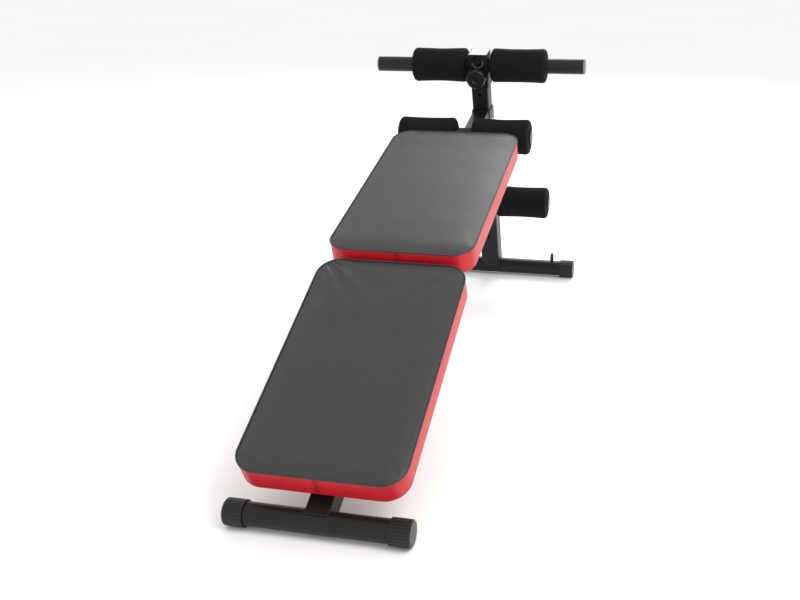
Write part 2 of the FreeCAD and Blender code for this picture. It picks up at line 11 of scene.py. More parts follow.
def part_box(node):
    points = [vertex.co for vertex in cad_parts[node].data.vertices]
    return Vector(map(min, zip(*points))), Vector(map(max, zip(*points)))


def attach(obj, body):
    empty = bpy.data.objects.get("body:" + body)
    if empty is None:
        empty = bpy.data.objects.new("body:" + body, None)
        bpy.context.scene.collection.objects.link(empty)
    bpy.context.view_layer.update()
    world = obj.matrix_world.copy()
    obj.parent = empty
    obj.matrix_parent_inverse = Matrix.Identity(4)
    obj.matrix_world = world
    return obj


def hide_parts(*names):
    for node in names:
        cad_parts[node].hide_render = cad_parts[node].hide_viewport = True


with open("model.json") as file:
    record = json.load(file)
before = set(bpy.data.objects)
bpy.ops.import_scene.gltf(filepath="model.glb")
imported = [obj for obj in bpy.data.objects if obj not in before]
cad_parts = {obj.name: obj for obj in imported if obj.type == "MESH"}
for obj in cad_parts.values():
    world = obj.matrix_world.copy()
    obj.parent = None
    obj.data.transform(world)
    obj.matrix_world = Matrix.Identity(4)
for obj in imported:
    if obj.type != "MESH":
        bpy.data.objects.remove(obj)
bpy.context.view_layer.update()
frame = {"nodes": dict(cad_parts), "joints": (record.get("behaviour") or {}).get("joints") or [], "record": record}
record = frame["record"]

MM = 0.001
X_AXIS = Vector((1, 0, 0))
TAU = 2 * math.pi

# ---------------------------------------------------------------- where things are
MOUNTS = {m["name"]: m for m in record["mounts"]}
JOINTS = {j["name"]: j for j in frame["joints"]}


def sloped_frame(origin, up):
    """Matrix of a frame whose X is the row's X and whose Z is the given direction."""
    up = Vector(up).normalized()
    along = up.cross(X_AXIS).normalized()
    rows = Matrix((X_AXIS, along, up)).transposed()
    return Matrix.Translation(Vector(origin)) @ rows.to_4x4()


def middle(node):
    """Middle of a CAD node's box."""
    low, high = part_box(node)
    return (low + high) / 2


def box_in(node, matrix):
    """Lowest and highest corner of a CAD node in another frame."""
    turn = matrix.inverted()
    points = [turn @ v.co for v in frame["nodes"][node].data.vertices]
    low = Vector([min(p[i] for p in points) for i in range(3)])
    high = Vector([max(p[i] for p in points) for i in range(3)])
    return low, high


FRONT_UP = MOUNTS["front_pad_surface"]["axis"]
REAR_UP = MOUNTS["rear_pad_surface"]["axis"]
POST_UP = JOINTS["t_bar_height"]["axis"]
FRONT_FOOT = sloped_frame(middle("front_foot_tube"), FRONT_UP)
REAR_FOOT = sloped_frame(middle("rear_foot_tube"), POST_UP)
REAR_BEAM = sloped_frame(middle("rear_beam"), REAR_UP)
T_BAR = sloped_frame(JOINTS["t_bar_roller_right_turn"]["pos_m"], POST_UP)


# ---------------------------------------------------------------- meshes
def new_object(name, mesh, materials, matrix=None, smooth=True):
    """A scene object with its materials and place."""
    piece = bpy.data.objects.new(name, mesh)
    bpy.context.scene.collection.objects.link(piece)
    for material in materials:
        mesh.materials.append(material)
    for polygon in mesh.polygons:
        polygon.use_smooth = smooth
    if matrix is not None:
        piece.matrix_world = matrix
    return piece


def mesh_from(name, vertices, faces):
    """A mesh whose normals all point outwards."""
    mesh = bpy.data.meshes.new(name)
    mesh.from_pydata([tuple(v) for v in vertices], [], faces)
    mesh.validate()
    work = bmesh.new()
    work.from_mesh(mesh)
    bmesh.ops.recalc_face_normals(work, faces=work.faces)
    work.to_mesh(mesh)
    work.free()
    return mesh


TILTED = Vector((0.13, 0.21, 0.97))     # two directions that no path here runs along for long
LEVEL = Vector((0.9, 0.3, 0.1))
NEARLY_PARALLEL = 0.2


def sweep(path, radius, sides=8, closed=False):
    """Vertices and faces of a tube along a path; radius is a number or a function of the index."""
    count = len(path)
    vertices = []
    for i, point in enumerate(path):
        before = path[i - 1] if closed or i > 0 else path[i]
        after = path[(i + 1) % count] if closed or i < count - 1 else path[i]
        tangent = (after - before).normalized()
        side = tangent.cross(TILTED)
        if side.length < NEARLY_PARALLEL:
            side = tangent.cross(LEVEL)
        side.normalize()
        other = tangent.cross(side)
        size = radius(i) if callable(radius) else radius
        for k in range(sides):
            angle = TAU * k / sides
            vertices.append(point + size * (math.cos(angle) * side + math.sin(angle) * other))
    faces = []
    for i in range(count if closed else count - 1):
        a = i * sides
        b = ((i + 1) % count) * sides
        faces += [(a + k, a + (k + 1) % sides, b + (k + 1) % sides, b + k) for k in range(sides)]
    if not closed:
        faces.append(tuple(range(sides)))
        faces.append(tuple(range((count - 1) * sides, count * sides)))
    return vertices, faces


def joined(parts):
    """One list of vertices and faces from several."""
    vertices = []
    faces = []
    for part_vertices, part_faces in parts:
        start = len(vertices)
        vertices += list(part_vertices)
        faces += [tuple(i + start for i in face) for face in part_faces]
    return vertices, faces


def revolved(profile, steps, wobble=None):
    """A closed ring-shaped body round X from a closed profile of (x, radius)."""
    vertices = []
    for k in range(steps):
        angle = TAU * k / steps
        for x, r in profile:
            size = r + (wobble(x, angle, r) if wobble else 0.0)
            vertices.append(Vector((x, size * math.cos(angle), size * math.sin(angle))))
    count = len(profile)
    faces = []
    for k in range(steps):
        a = k * count
        b = ((k + 1) % steps) * count
        faces += [(a + i, a + (i + 1) % count, b + (i + 1) % count, b + i) for i in range(count)]
    return vertices, faces


# ---------------------------------------------------------------- materials
def shader(name, color, roughness, metallic=0.0, shine=0.5):
    """A Principled material; gives the material, its node tree and its shader node."""
    material = bpy.data.materials.new(name)
    material.use_nodes = True
    tree = material.node_tree
    principled = tree.nodes["Principled BSDF"]
    principled.inputs["Base Color"].default_value = (*color, 1)
    principled.inputs["Roughness"].default_value = roughness
    principled.inputs["Metallic"].default_value = metallic
    principled.inputs["Specular IOR Level"].default_value = shine
    return material, tree, principled


def texture(tree, kind, scale, **values):
    """A procedural texture in the piece's own coordinates."""
    places = tree.nodes.get("Places") or tree.nodes.new("ShaderNodeTexCoord")
    places.name = "Places"
    node = tree.nodes.new(kind)
    node.inputs["Scale"].default_value = scale
    for key, value in values.items():
        if key in node.inputs:
            node.inputs[key].default_value = value
        else:
            setattr(node, key, value)
    tree.links.new(places.outputs["Object"], node.inputs["Vector"])
    return node


def ramp(tree, source, stops):
    """A colour ramp over a texture's output; stops are (position, (r, g, b))."""
    node = tree.nodes.new("ShaderNodeValToRGB")
    elements = node.color_ramp.elements
    while len(elements) < len(stops):
        elements.new(0.5)
    for element, (position, color) in zip(elements, stops):
        element.position = position
        element.color = (*color, 1)
    tree.links.new(source, node.inputs["Fac"])
    return node


def span(tree, source, low, high):
    """The source's 0 to 1 turned into low to high."""
    node = tree.nodes.new("ShaderNodeMapRange")
    node.inputs["To Min"].default_value = low
    node.inputs["To Max"].default_value = high
    tree.links.new(source, node.inputs["Value"])
    return node.outputs["Result"]


def bump(tree, principled, layers):
    """Stacked bump nodes; layers are (height output, strength, distance in metres)."""
    previous = None
    for height, strength, distance in layers:
        node = tree.nodes.new("ShaderNodeBump")
        node.inputs["Strength"].default_value = strength
        node.inputs["Distance"].default_value = distance
        tree.links.new(height, node.inputs["Height"])
        if previous is not None:
            tree.links.new(previous.outputs["Normal"], node.inputs["Normal"])
        previous = node
    tree.links.new(previous.outputs["Normal"], principled.inputs["Normal"])


def shades(color, darker, lighter):
    """Three close shades of a colour for a ramp."""
    return [(0.25, [c * darker for c in color]), (0.5, color), (0.78, [c * lighter for c in color])]


def leatherette(name, color, rough_low, rough_high, shine):
    """Pebbled PVC cover: fine grain cells, soft broad unevenness and a slightly varied gloss."""
    material, tree, principled = shader(name, color, rough_low, shine=shine)
    cells = texture(tree, "ShaderNodeTexVoronoi", 760.0, feature="F1", Randomness=1.0)
    pores = texture(tree, "ShaderNodeTexNoise", 1900.0, Detail=3.0)
    broad = texture(tree, "ShaderNodeTexNoise", 9.0, Detail=4.0, Roughness=0.55)
    patches = texture(tree, "ShaderNodeTexNoise", 46.0, Detail=5.0, Roughness=0.6)
    tint = ramp(tree, patches.outputs["Fac"], shades(color, 0.84, 1.2))
    tree.links.new(tint.outputs["Color"], principled.inputs["Base Color"])
    tree.links.new(span(tree, broad.outputs["Fac"], rough_low, rough_high), principled.inputs["Roughness"])
    bump(tree, principled, [
        (broad.outputs["Fac"], 0.35, 0.0022),
        (cells.outputs["Distance"], 0.5, 0.00022),
        (pores.outputs["Fac"], 0.25, 0.0001),
    ])
    return material


def powder_coat(name, color, roughness=0.36, shine=0.3):
    """Satin black powder coat with its fine orange-peel and a little dust."""
    material, tree, principled = shader(name, color, roughness, shine=shine)
    peel = texture(tree, "ShaderNodeTexNoise", 900.0, Detail=2.0)
    swell = texture(tree, "ShaderNodeTexNoise", 140.0, Detail=3.0)
    dust = texture(tree, "ShaderNodeTexNoise", 22.0, Detail=6.0, Roughness=0.65)
    tint = ramp(tree, dust.outputs["Fac"], shades(color, 0.85, 1.3))
    tree.links.new(tint.outputs["Color"], principled.inputs["Base Color"])
    tree.links.new(span(tree, dust.outputs["Fac"], roughness - 0.07, roughness + 0.12),
                   principled.inputs["Roughness"])
    bump(tree, principled, [
        (swell.outputs["Fac"], 0.3, 0.0004),
        (peel.outputs["Fac"], 0.35, 0.00012),
    ])
    return material


def moulded_plastic(name, color, rough_low, rough_high, grain=1400.0, shine=0.35):
    """Injection-moulded plastic with a fine spark-eroded grain."""
    material, tree, principled = shader(name, color, rough_low, shine=shine)
    fine = texture(tree, "ShaderNodeTexNoise", grain, Detail=2.0)
    flow = texture(tree, "ShaderNodeTexNoise", 35.0, Detail=4.0)
    tint = ramp(tree, flow.outputs["Fac"], shades(color, 0.86, 1.22))
    tree.links.new(tint.outputs["Color"], principled.inputs["Base Color"])
    tree.links.new(span(tree, flow.outputs["Fac"], rough_low, rough_high), principled.inputs["Roughness"])
    bump(tree, principled, [(fine.outputs["Fac"], 0.3, 0.00014)])
    return material


def roller_foam(name, color):
    """Closed-cell foam: matt skin with open pores and soft mottling."""
    material, tree, principled = shader(name, color, 0.88, shine=0.12)
    pores = texture(tree, "ShaderNodeTexVoronoi", 620.0, feature="F1")
    grit = texture(tree, "ShaderNodeTexNoise", 1300.0, Detail=4.0)
    mottle = texture(tree, "ShaderNodeTexNoise", 55.0, Detail=6.0, Roughness=0.7)
    tint = ramp(tree, mottle.outputs["Fac"], shades(color, 0.7, 1.5))
    tree.links.new(tint.outputs["Color"], principled.inputs["Base Color"])
    tree.links.new(span(tree, mottle.outputs["Fac"], 0.8, 0.96), principled.inputs["Roughness"])
    bump(tree, principled, [
        (mottle.outputs["Fac"], 0.4, 0.0012),
        (pores.outputs["Distance"], 0.6, 0.0004),
        (grit.outputs["Fac"], 0.4, 0.00025),
    ])
    return material


def plated_steel(name, color):
    """Zinc plate: fine drawn lines and slight tarnish."""
    material, tree, principled = shader(name, color, 0.3, metallic=1.0)
    lines = texture(tree, "ShaderNodeTexNoise", 700.0, Detail=3.0)
    tarnish = texture(tree, "ShaderNodeTexNoise", 90.0, Detail=5.0)
    tint = ramp(tree, tarnish.outputs["Fac"], shades(color, 0.75, 1.12))
    tree.links.new(tint.outputs["Color"], principled.inputs["Base Color"])
    tree.links.new(span(tree, tarnish.outputs["Fac"], 0.24, 0.46), principled.inputs["Roughness"])
    bump(tree, principled, [(lines.outputs["Fac"], 0.25, 0.00008)])
    return material


def plywood(name, color):
    """Poplar plywood face: stretched grain figure along the board."""
    material, tree, principled = shader(name, color, 0.7)
    places = tree.nodes.new("ShaderNodeTexCoord")
    stretch = tree.nodes.new("ShaderNodeMapping")
    stretch.inputs["Scale"].default_value = (1.0, 0.06, 1.0)
    tree.links.new(places.outputs["Object"], stretch.inputs["Vector"])
    grain = tree.nodes.new("ShaderNodeTexNoise")
    grain.inputs["Scale"].default_value = 160.0
    grain.inputs["Detail"].default_value = 8.0
    tree.links.new(stretch.outputs["Vector"], grain.inputs["Vector"])
    tint = ramp(tree, grain.outputs["Fac"], shades(color, 0.6, 1.25))
    tree.links.new(tint.outputs["Color"], principled.inputs["Base Color"])
    tree.links.new(span(tree, grain.outputs["Fac"], 0.6, 0.82), principled.inputs["Roughness"])
    bump(tree, principled, [(grain.outputs["Fac"], 0.4, 0.0003)])
    return material


BLACK_COVER = leatherette("black_leatherette", (0.021, 0.0215, 0.022), 0.34, 0.47, 0.5)
RED_COVER = leatherette("red_leatherette", (0.52, 0.008, 0.016), 0.34, 0.46, 0.42)
STEEL = powder_coat("black_powder_coat", (0.006, 0.006, 0.0066))
CAP_PLASTIC = moulded_plastic("foot_cap_plastic", (0.006, 0.006, 0.0066), 0.26, 0.40)
KNOB_PLASTIC = moulded_plastic("black_plastic", (0.006, 0.006, 0.007), 0.30, 0.44)
GLOSS_PLASTIC = moulded_plastic("gloss_black_plastic", (0.006, 0.006, 0.007), 0.10, 0.18, shine=0.6)
GREY_PLUG = moulded_plastic("grey_end_plug", (0.17, 0.17, 0.175), 0.4, 0.55)
ZINC = plated_steel("zinc_plated_steel", (0.60, 0.60, 0.58))
FOAM = roller_foam("roller_foam", (0.0065, 0.0065, 0.007))
PLY = plywood("plywood", (0.46, 0.31, 0.17))
STICKER = moulded_plastic("plain_sticker", (0.86, 0.84, 0.83), 0.45, 0.6, grain=400.0)
THREAD = moulded_plastic("red_thread", (0.20, 0.003, 0.008), 0.55, 0.7, grain=2500.0)

SLOT_MATERIALS = {
    "black_powder_coat": STEEL,
    "band_eye_wire": STEEL,
    "zinc_plated_steel": ZINC,
    "foot_cap_plastic": CAP_PLASTIC,
    "black_plastic": KNOB_PLASTIC,
    "gloss_black_plastic": GLOSS_PLASTIC,
    "grey_end_plug": GREY_PLUG,
    "black_leatherette": BLACK_COVER,
    "red_leatherette": RED_COVER,
    "pad_foam": FOAM,
    "plywood": PLY,
    "roller_foam": FOAM,
}


def finish_cad_nodes():
    """Every CAD node takes the material of its slot in the record."""
    for part in record["subparts"]:
        mesh = frame["nodes"][part["node"]].data
        mesh.materials.clear()
        mesh.materials.append(SLOT_MATERIALS[part["material_slot"]])


# ---------------------------------------------------------------- pads
PAD_CORNER = 46 * MM
COVER_INSET = 1.2 * MM        # the slack cover starts this far inside the CAD outline
SEAM_DEPTH = 5 * MM           # top seam below the CAD top
TOP_RISE = 3.6 * MM           # top panel above its seam
TOP_ROUNDING = 5 * MM
GRID = 5 * MM
SIDE_ROWS = 10
FOLD_INSETS = (3 * MM, 9 * MM, 16 * MM, 24 * MM)    # cover folded in under the board
FOLD_THICKNESS = 1.2 * MM
FOLD_CORNER = 8 * MM          # smallest corner radius of the folded part
FLOOR_RISE = 1 * MM           # hidden floor above the board's underside
FLOOR_STEP = 0.5 * MM
SIM_FRAMES = 20
PRESSURE = 4.0
TOP_SWELL = 2.6 * MM
SIDE_SWELL = 2.2 * MM


def rounded_place(x, y, half_x, half_y, radius):
    """A rectangle's point moved so that the rectangle's corners become round."""
    over_x = abs(x) - (half_x - radius)
    over_y = abs(y) - (half_y - radius)
    if over_x > 0 and over_y > 0:
        p = over_x / radius
        q = over_y / radius
        x = math.copysign(half_x - radius + radius * p * math.sqrt(1 - q * q / 2), x)
        y = math.copysign(half_y - radius + radius * q * math.sqrt(1 - p * p / 2), y)
    return x, y


def rim_distance(x, y, half_x, half_y, radius):
    """How far inside the rounded outline a point lies."""
    over_x = abs(x) - (half_x - radius)
    over_y = abs(y) - (half_y - radius)
    if over_x > 0 and over_y > 0:
        return radius - math.hypot(over_x, over_y)
    return radius - max(over_x, over_y)


def rim_indices(nx, ny):
    """Grid positions of the outline, once round."""
    ring = [(i, 0) for i in range(nx)]
    ring += [(nx, j) for j in range(ny)]
    ring += [(i, ny) for i in range(nx, 0, -1)]
    ring += [(0, j) for j in range(ny, 0, -1)]
    return ring


def cover_mesh(name, half_x, half_y, thickness):
    """A closed pad cover: top panel, side band, the fold under the board, and a hidden floor."""
    radius = PAD_CORNER - COVER_INSET
    half_x -= COVER_INSET
    half_y -= COVER_INSET
    nx = round(2 * half_x / GRID)
    ny = round(2 * half_y / GRID)
    vertices = []
    index = {}
    for j in range(ny + 1):
        for i in range(nx + 1):
            x, y = rounded_place(-half_x + 2 * half_x * i / nx, -half_y + 2 * half_y * j / ny,
                                 half_x, half_y, radius)
            inside = rim_distance(x, y, half_x, half_y, radius)
            rise = TOP_RISE * (1 - math.exp(-max(inside, 0) / TOP_ROUNDING))
            index[i, j] = len(vertices)
            vertices.append(Vector((x, y, -SEAM_DEPTH + rise)))
    faces = [(index[i, j], index[i + 1, j], index[i + 1, j + 1], index[i, j + 1])
             for j in range(ny) for i in range(nx)]
    top_count = len(vertices)
    ring = rim_indices(nx, ny)
    rim = [vertices[index[p]].copy() for p in ring]
    previous = [index[p] for p in ring]
    seam = list(previous)
    count = len(ring)

    def add_loop(points):
        nonlocal previous
        start = len(vertices)
        vertices.extend(points)
        current = list(range(start, start + count))
        for k in range(count):
            n = (k + 1) % count
            faces.append((previous[k], previous[n], current[n], current[k]))
        previous = current

    def inset(point, amount, z):
        """The outline's point moved inwards, with tighter corners."""
        inner = max(radius - amount, FOLD_CORNER)
        core_x = half_x - amount - inner
        core_y = half_y - amount - inner
        core = Vector((max(-(half_x - radius), min(half_x - radius, point.x)),
                       max(-(half_y - radius), min(half_y - radius, point.y))))
        away = Vector((point.x, point.y)) - core
        away.normalize()
        x = max(-core_x, min(core_x, core.x))
        y = max(-core_y, min(core_y, core.y))
        return Vector((x + inner * away.x, y + inner * away.y, z))

    low = -thickness
    for row in range(1, SIDE_ROWS + 1):
        z = -SEAM_DEPTH + (low + SEAM_DEPTH) * row / SIDE_ROWS
        add_loop([Vector((p.x, p.y, z)) for p in rim])
    band_end = len(vertices)
    for amount in FOLD_INSETS:
        add_loop([inset(p, amount, low - FOLD_THICKNESS) for p in rim])
    add_loop([inset(p, FOLD_INSETS[-1] + FLOOR_STEP, low + FLOOR_RISE) for p in rim])
    place = dict(zip(ring, previous))
    scale_x = (half_x - FOLD_INSETS[-1]) / half_x
    scale_y = (half_y - FOLD_INSETS[-1]) / half_y
    for j in range(1, ny):
        for i in range(1, nx):
            above = vertices[index[i, j]]
            place[i, j] = len(vertices)
            vertices.append(Vector((above.x * scale_x, above.y * scale_y, low + FLOOR_RISE)))
    faces += [(place[i, j], place[i, j + 1], place[i + 1, j + 1], place[i + 1, j])
              for j in range(ny) for i in range(nx)]
    mesh = mesh_from(name, vertices, faces)
    pinned = set(seam) | set(range(band_end - count, len(vertices)))
    return mesh, pinned, seam, top_count


def inflate(piece, pinned, top_count):
    """Cloth simulation under inner pressure; the movement is capped softly."""
    group = piece.vertex_groups.new(name="held")
    group.add(sorted(pinned), 1.0, "REPLACE")
    rest = [v.co.copy() for v in piece.data.vertices]
    modifier = piece.modifiers.new("Cloth", "CLOTH")
    settings = modifier.settings
    settings.quality = 5
    settings.mass = 0.25
    settings.tension_stiffness = 12
    settings.compression_stiffness = 10
    settings.shear_stiffness = 4
    settings.bending_stiffness = 0.6
    settings.use_pressure = True
    settings.uniform_pressure_force = PRESSURE
    settings.vertex_group_mass = "held"
    settings.effector_weights.gravity = 0.0
    modifier.collision_settings.use_collision = False
    modifier.point_cache.frame_start = 1
    modifier.point_cache.frame_end = SIM_FRAMES
    scene = bpy.context.scene
    for step in range(1, SIM_FRAMES + 1):
        scene.frame_set(step)
    evaluated = piece.evaluated_get(bpy.context.evaluated_depsgraph_get())
    moved = [v.co.copy() for v in evaluated.data.vertices]
    piece.modifiers.remove(modifier)
    scene.frame_set(1)
    for i, (before, after) in enumerate(zip(rest, moved)):
        shift = after - before
        cap = TOP_SWELL if i < top_count else SIDE_SWELL
        if shift.length > 1e-9:
            shift *= cap * math.tanh(shift.length / cap) / shift.length
        piece.data.vertices[i].co = before + shift


CREASE_REACH = 0.22
CREASE_FADE = 0.075
CREASE_START = 0.035
CREASE_FOLDS = 12             # radians of wave in each radian round a corner
CREASE_STRAY = 4
DENTS_PER_METRE = 9
BAND_HEIGHT = 1.1 * MM        # long shallow bands across a pad
DENT_HEIGHT = 0.5 * MM
FLAT_RIM = 4 * MM             # the top stays even this close to its seam
RIM_FADE = 18 * MM


def crease(x, y, corners, half_x, half_y):
    """Height of the pull creases that run in from each corner; corners gives each one's strength."""
    height = 0.0
    for (sx, sy), strength in corners.items():
        dx = sx * half_x - x
        dy = sy * half_y - y
        distance = math.hypot(dx, dy)
        if distance < CREASE_REACH:
            angle = math.atan2(dy * sy, dx * sx)
            fade = math.exp(-distance / CREASE_FADE) * min(distance / CREASE_START, 1)
            stray = CREASE_STRAY * noise.noise(Vector((x * DENTS_PER_METRE, y * DENTS_PER_METRE, 1.3)))
            height += strength * fade * math.sin(angle * CREASE_FOLDS + stray)
    return height


def soften_top(piece, half_x, half_y, corners, seed):
    """Broad dents across the pad and creases at its corners, only on the top panel."""
    for v in piece.data.vertices:
        x, y, z = v.co
        inside = rim_distance(x, y, half_x, half_y, PAD_CORNER)
        if z < -SEAM_DEPTH - 0.5 * MM or inside < FLAT_RIM:
            continue
        fade = min((inside - FLAT_RIM) / RIM_FADE, 1)
        bands = noise.noise(Vector((x * 2.2, y * 11.0, seed)))
        dents = noise.noise(Vector((x * DENTS_PER_METRE, y * DENTS_PER_METRE, seed + 7.3)))
        v.co.z += fade * (BAND_HEIGHT * bands + DENT_HEIGHT * dents)
        v.co.z += crease(x, y, corners, half_x, half_y)


def subdivided(piece):
    """Gives the piece its own mesh, subdivided once."""
    modifier = piece.modifiers.new("Subdivision", "SUBSURF")
    modifier.levels = 1
    modifier.render_levels = 1
    evaluated = piece.evaluated_get(bpy.context.evaluated_depsgraph_get())
    mesh = bpy.data.meshes.new_from_object(evaluated)
    piece.modifiers.remove(modifier)
    piece.data = mesh


def paint_panels(piece, half_x, half_y):
    """Top panel black, side band and fold red."""
    for polygon in piece.data.polygons:
        centre = polygon.center
        inside = rim_distance(centre.x, centre.y, half_x, half_y, PAD_CORNER)
        is_top = centre.z > -SEAM_DEPTH - 0.2 * MM and inside > 0
        polygon.material_index = 0 if is_top else 1


def surface_finder(piece):
    """A function that finds where a ray meets the piece, in the piece's own frame."""
    tree = BVHTree.FromPolygons([v.co for v in piece.data.vertices],
                                [tuple(p.vertices) for p in piece.data.polygons])

    def hit(origin, direction):
        return tree.ray_cast(origin, direction)[0]

    return hit


STITCH_PITCH = 5.5 * MM
STITCH_LENGTH = 3.6 * MM
STITCH_RISE = 0.45 * MM
STITCH_FOOT = 0.15 * MM
STITCH_R = 0.42 * MM
STITCH_OFFSET = 4 * MM        # each row from the joint
JOINT_R = 0.9 * MM
JOINT_STEPS = 16
JOINT_LIFT = 0.1 * MM
JOINT_TOP_GAP = 2 * MM        # from the seam above
JOINT_LOW_GAP = 3 * MM        # from the board's underside
OUTSIDE = 0.05                # rays start this far outside the pad
STAPLE_PITCH = 34 * MM
STAPLE_INSET = 14 * MM
STAPLE_HALF = 5 * MM
STAPLE_LEG = 1.6 * MM
STAPLE_R = 0.45 * MM
STAPLE_GAP = 0.25 * MM        # below the fold
PIPING_R = 1.5 * MM
PIPING_LIFT = 0.3 * MM


def stitch_rows(hit, half_y, thickness):
    """The upright seam in the middle of the near side: a dark joint between two rows of stitches."""
    near = Vector((0, 1, 0))
    top = -SEAM_DEPTH - JOINT_TOP_GAP
    bottom = -thickness + JOINT_LOW_GAP

    def on_side(x, z, lift):
        point = hit(Vector((x, -half_y - OUTSIDE, z)), near)
        return None if point is None else point + Vector((0, -lift, 0))

    drop = (bottom - top) / JOINT_STEPS
    joint = [on_side(0.0, top + drop * i, JOINT_LIFT) for i in range(JOINT_STEPS + 1)]
    parts = [sweep([p for p in joint if p is not None], JOINT_R, 8)]
    steps = int((top - bottom) / STITCH_PITCH)
    for x in (-STITCH_OFFSET, STITCH_OFFSET):
        for i in range(steps):
            z = top - (i + 0.15) * STITCH_PITCH
            ends = [on_side(x, z, STITCH_FOOT), on_side(x, z - STITCH_LENGTH / 2, STITCH_RISE),
                    on_side(x, z - STITCH_LENGTH, STITCH_FOOT)]
            if all(p is not None for p in ends):
                parts.append(sweep(ends, STITCH_R, 6))
    return joined(parts)


def staples(half_x, half_y, thickness):
    """Wire staples that hold the folded cover to the board."""
    z = -thickness - FOLD_THICKNESS - STAPLE_GAP
    up = Vector((0, 0, STAPLE_LEG))
    parts = []

    def staple(x, y, step):
        start = Vector((x, y, z)) - step
        end = Vector((x, y, z)) + step
        parts.append(sweep([start + up, start, end, end + up], STAPLE_R, 6))

    across = int((2 * half_x - 2 * PAD_CORNER) / STAPLE_PITCH)
    for i in range(across + 1):
        for side in (-1, 1):
            x = (i - across / 2) * STAPLE_PITCH
            staple(x, side * (half_y - STAPLE_INSET), Vector((STAPLE_HALF, 0, 0)))
    along = int((2 * half_y - 2 * PAD_CORNER) / STAPLE_PITCH)
    for i in range(along + 1):
        for side in (-1, 1):
            y = (i - along / 2) * STAPLE_PITCH
            staple(side * (half_x - STAPLE_INSET), y, Vector((0, STAPLE_HALF, 0)))
    return joined(parts)


def make_pad(name, up, body, corners, seed):
    """One pad's cover with its seam cord, side seam and staples; Z = 0 is the middle of its top."""
    surface = MOUNTS[name + "_pad_surface"]["pos_m"]
    matrix = sloped_frame(surface, up)
    low, high = box_in(name + "_pad_top_cover", matrix)
    matrix = matrix @ Matrix.Translation(((low.x + high.x) / 2, (low.y + high.y) / 2, high.z))
    half_x = (high.x - low.x) / 2
    half_y = (high.y - low.y) / 2
    foam_low, _ = box_in(name + "_pad_foam", matrix)
    thickness = -foam_low.z

    mesh, pinned, seam, top_count = cover_mesh(name + "_pad_cover", half_x, half_y, thickness)
    cover = new_object(name + "_pad_cover", mesh, [BLACK_COVER, RED_COVER])
    inflate(cover, pinned, top_count)
    seam_line = [cover.data.vertices[i].co.copy() for i in seam]
    subdivided(cover)
    soften_top(cover, half_x, half_y, corners, seed)
    paint_panels(cover, half_x, half_y)
    hit = surface_finder(cover)

    cord_path = [p + Vector((0, 0, PIPING_LIFT)) for p in seam_line]
    cord = mesh_from("piping", *sweep(cord_path, PIPING_R, 10, True))
    stitches = mesh_from("stitches", *stitch_rows(hit, half_y, thickness))
    wires = mesh_from("staples", *staples(half_x, half_y, thickness))
    piping = new_object(name + "_pad_piping", cord, [BLACK_COVER])
    stitched = new_object(name + "_pad_side_seam", stitches, [THREAD])
    pins = new_object(name + "_pad_staples", wires, [ZINC])
    for piece, slot in ((cover, "black_leatherette"), (piping, "black_leatherette"),
                        (stitched, "red_leatherette"), (pins, "zinc_plated_steel")):
        piece.matrix_world = matrix
        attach(piece, body)
    for polygon in cover.data.polygons:
        polygon.use_smooth = True
    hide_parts(name + "_pad_top_cover", name + "_pad_side_band", name + "_pad_foam")


# ---------------------------------------------------------------- rollers
ROLLER_STEPS = 72
ROLLER_EDGE = 9 * MM
ROLLER_WAIST = 1.6 * MM
ROLLER_ARC_STEPS = 8
ROLLER_RUNS = 14
ROLLER_DISH = 1.2 * MM        # end face near the bore, below the end
ROLLER_LIP = 0.2 * MM
ROLLER_LIP_WIDTH = 2.5 * MM
ROLLER_UNEVEN = 0.5 * MM
ROLLER_LUMPS = 28             # unevenness along the roller, in lumps a metre
ROLLER_LUMPS_ROUND = 1.3
ROLLER_INSIDE = 0.6           # below this share of the radius the bore stays even
BORE_CLEARANCE = 0.3 * MM


def roller_profile(x0, x1, outer, bore):
    """Closed profile of a slightly waisted foam tube with soft shoulders and dished ends."""
    lip = bore + ROLLER_LIP_WIDTH
    profile = [(x0 + ROLLER_DISH, bore), (x0 + ROLLER_LIP, lip)]
    for i in range(ROLLER_ARC_STEPS + 1):
        angle = math.pi / 2 * i / ROLLER_ARC_STEPS
        across = ROLLER_EDGE * (1 - math.cos(angle))
        profile.append((x0 + across, outer - ROLLER_EDGE * (1 - math.sin(angle))))
    for i in range(1, ROLLER_RUNS):
        t = i / ROLLER_RUNS
        along = x0 + ROLLER_EDGE + (x1 - x0 - 2 * ROLLER_EDGE) * t
        profile.append((along, outer - ROLLER_WAIST * math.sin(math.pi * t)))
    for i in range(ROLLER_ARC_STEPS + 1):
        angle = math.pi / 2 * (1 - i / ROLLER_ARC_STEPS)
        across = ROLLER_EDGE * (1 - math.cos(angle))
        profile.append((x1 - across, outer - ROLLER_EDGE * (1 - math.sin(angle))))
    profile += [(x1 - ROLLER_LIP, lip), (x1 - ROLLER_DISH, bore)]
    return profile


def make_roller(node, bar):
    """A foam roller in place of its CAD node, bored for the given bar."""
    low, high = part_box(node)
    bar_low, bar_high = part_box(bar)
    bore = (bar_high.z - bar_low.z) / 2 + BORE_CLEARANCE
    centre = (low + high) / 2
    half = (high.x - low.x) / 2
    outer = (high.y - low.y) / 2
    seed = centre.x * 31 + centre.y * 17

    def wobble(x, angle, r):
        if r < outer * ROLLER_INSIDE:
            return 0.0
        at = Vector((x * ROLLER_LUMPS + seed, ROLLER_LUMPS_ROUND * math.cos(angle),
                     ROLLER_LUMPS_ROUND * math.sin(angle)))
        return -ROLLER_UNEVEN + ROLLER_UNEVEN * noise.noise(at)

    mesh = mesh_from(node, *revolved(roller_profile(-half, half, outer, bore), ROLLER_STEPS, wobble))
    roller = new_object(node + "_foam", mesh, [FOAM], Matrix.Translation(centre))
    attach(roller, node)
    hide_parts(node)


